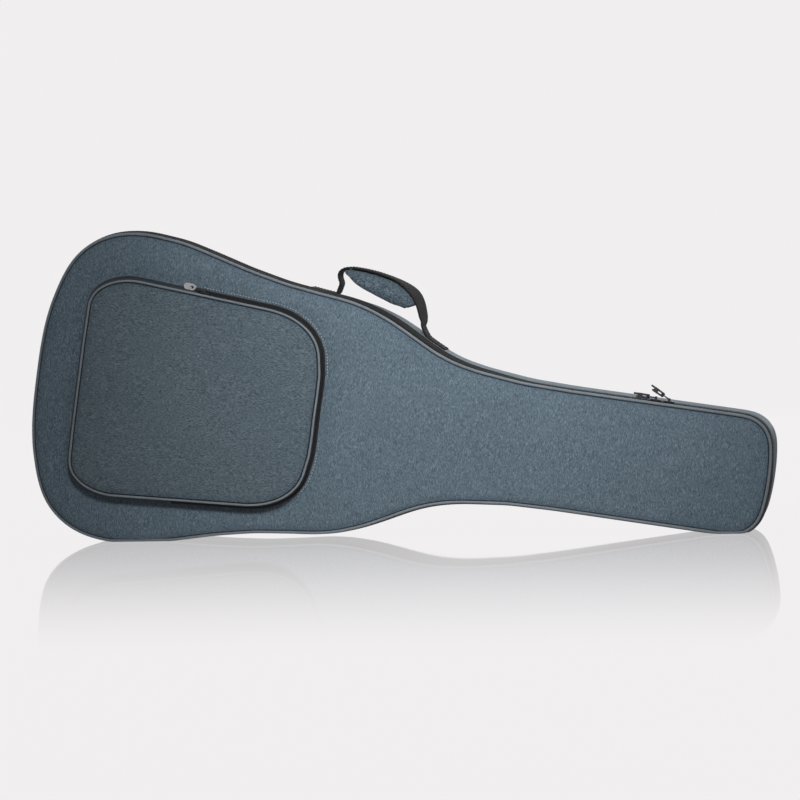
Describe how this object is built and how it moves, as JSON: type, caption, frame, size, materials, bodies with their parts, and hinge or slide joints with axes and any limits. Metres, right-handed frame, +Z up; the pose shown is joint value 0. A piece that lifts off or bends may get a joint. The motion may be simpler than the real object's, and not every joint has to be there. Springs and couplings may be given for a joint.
{
  "type": "gig bag",
  "caption": "Padded gig bag for a dreadnought guitar, with a clamshell zip, front pocket, carry handle and shoulder straps, standing on its long side.",
  "frame": {"origin": "bottom centre of the bounding box, on the floor under the bag's long side", "axes": "+X towards the head end of the bag, +Y from the front face with the pocket towards the back face, +Z up, towards the carry handle"},
  "size_m": [1.0704, 0.1683, 0.4486],
  "materials": {
    "heather_fabric": "matte",
    "padding_foam": "matte",
    "lining_fabric": "matte",
    "black_fabric": "matte",
    "piping_trim": "satin",
    "zip_tape": "matte",
    "zip_coil": "satin",
    "black_hardware": "satin",
    "pull_cord": "matte",
    "nickel_hardware": "polished",
    "black_webbing": "matte",
    "buckle_plastic": "satin"
  },
  "bodies": {
    "case": {"back_panel": "heather_fabric", "back_foam": "padding_foam", "back_lining": "lining_fabric", "side_wall": "heather_fabric", "side_foam": "padding_foam", "side_lining": "lining_fabric", "rim_binding": "black_fabric", "back_piping": "piping_trim", "case_zip_tape": "zip_tape", "case_zip_coil": "zip_coil", "hinge_cloth_case": "black_fabric", "zip_end_stops": "black_hardware", "tail_pad": "lining_fabric", "head_pad": "lining_fabric", "neck_rest": "lining_fabric", "neck_strap_anchor": "black_webbing", "handle_tails": "black_webbing", "strap_patch": "black_fabric", "strap_tab_upper": "black_webbing", "strap_tab_lower": "black_webbing"},
    "lid": {"front_panel": "heather_fabric", "front_foam": "padding_foam", "front_lining": "lining_fabric", "front_piping": "piping_trim", "lid_zip_tape": "zip_tape", "lid_zip_coil": "zip_coil", "hinge_cloth_lid": "black_fabric", "pocket_base_cloth": "heather_fabric", "pocket_base_tape": "zip_tape", "pocket_base_coil": "zip_coil"},
    "pocket_flap": {"pocket_panel": "heather_fabric", "pocket_padding": "padding_foam", "pocket_piping": "piping_trim", "pocket_flap_cloth": "heather_fabric", "pocket_flap_tape": "zip_tape", "pocket_flap_coil": "zip_coil"},
    "body_slider": {"zip_slider_body": "black_hardware"},
    "head_slider": {"zip_slider_head": "black_hardware"},
    "body_pull": {"pull_tab_body": "black_hardware", "pull_loop_body": "pull_cord"},
    "head_pull": {"pull_tab_head": "black_hardware", "pull_loop_head": "pull_cord"},
    "pocket_runner": {"pocket_slider": "black_hardware"},
    "pocket_pull": {"pocket_pull_link": "black_hardware", "pocket_pull_tab": "nickel_hardware"},
    "handle": {"handle_loop": "black_webbing", "handle_grip": "heather_fabric"},
    "upper_strap": {"strap_pad_upper": "heather_fabric", "strap_web_upper": "black_webbing", "strap_tail_upper": "black_webbing", "strap_buckle_upper": "buckle_plastic"},
    "lower_strap": {"strap_pad_lower": "heather_fabric", "strap_web_lower": "black_webbing", "strap_tail_lower": "black_webbing", "strap_buckle_lower": "buckle_plastic"},
    "neck_flap_upper": {"neck_strap_upper": "black_webbing"},
    "neck_flap_lower": {"neck_strap_lower": "black_webbing"}
  },
  "joints": [
    {"name": "lid_hinge", "type": "hinge", "parent": "case", "child": "lid", "pos_m": [0, -0.03365, 0], "axis": [1, 0, 0], "range_deg": [0, 170]},
    {"name": "pocket_hinge", "type": "hinge", "parent": "lid", "child": "pocket_flap", "pos_m": [-0.45914, -0.07065, 0.23342], "axis": [-0.1579, 0, -0.9875], "range_deg": [0, 120]},
    {"name": "body_slider_run", "type": "slide", "parent": "case", "child": "body_slider", "axis": [0.9875, 0, -0.1579], "range_m": [-0.12, 0]},
    {"name": "head_slider_run", "type": "slide", "parent": "case", "child": "head_slider", "axis": [0.9875, 0, -0.1579], "range_m": [0, 0.085]},
    {"name": "body_pull_hinge", "type": "hinge", "parent": "body_slider", "child": "body_pull", "pos_m": [0.37054, -0.03365, 0.19333], "axis": [0, 1, 0], "range_deg": [0, 30]},
    {"name": "head_pull_hinge", "type": "hinge", "parent": "head_slider", "child": "head_pull", "pos_m": [0.3893, -0.03365, 0.19033], "axis": [0, 1, 0], "range_deg": [0, 110]},
    {"name": "pocket_slider_run", "type": "slide", "parent": "lid", "child": "pocket_runner", "axis": [0.9735, 0, -0.2285], "range_m": [0, 0.085]},
    {"name": "pocket_pull_hinge", "type": "hinge", "parent": "pocket_runner", "child": "pocket_pull", "pos_m": [-0.26964, -0.07065, 0.35999], "axis": [0, 1, 0], "range_deg": [0, 150]},
    {"name": "handle_swing", "type": "hinge", "parent": "case", "child": "handle", "pos_m": [-0.02556, 0.02785, 0.32866], "axis": [0.8956, 0, -0.4448], "range_deg": [-30, 30]},
    {"name": "upper_strap_swing", "type": "hinge", "parent": "case", "child": "upper_strap", "pos_m": [-0.39126, 0.07415, 0.37548], "axis": [0.9279, 0, -0.373], "range_deg": [0, 75]},
    {"name": "lower_strap_swing", "type": "hinge", "parent": "case", "child": "lower_strap", "pos_m": [-0.4323, 0.07415, 0.11874], "axis": [0.9979, 0, 0.0651], "range_deg": [0, 75]},
    {"name": "neck_flap_upper_fold", "type": "hinge", "parent": "case", "child": "neck_flap_upper", "pos_m": [0.17421, 0.01635, 0.18786], "axis": [-0.9875, 0, 0.1579], "range_deg": [0, 75]},
    {"name": "neck_flap_lower_fold", "type": "hinge", "parent": "case", "child": "neck_flap_lower", "pos_m": [0.15685, 0.01635, 0.07924], "axis": [0.9875, 0, -0.1579], "range_deg": [0, 75]}
  ]
}
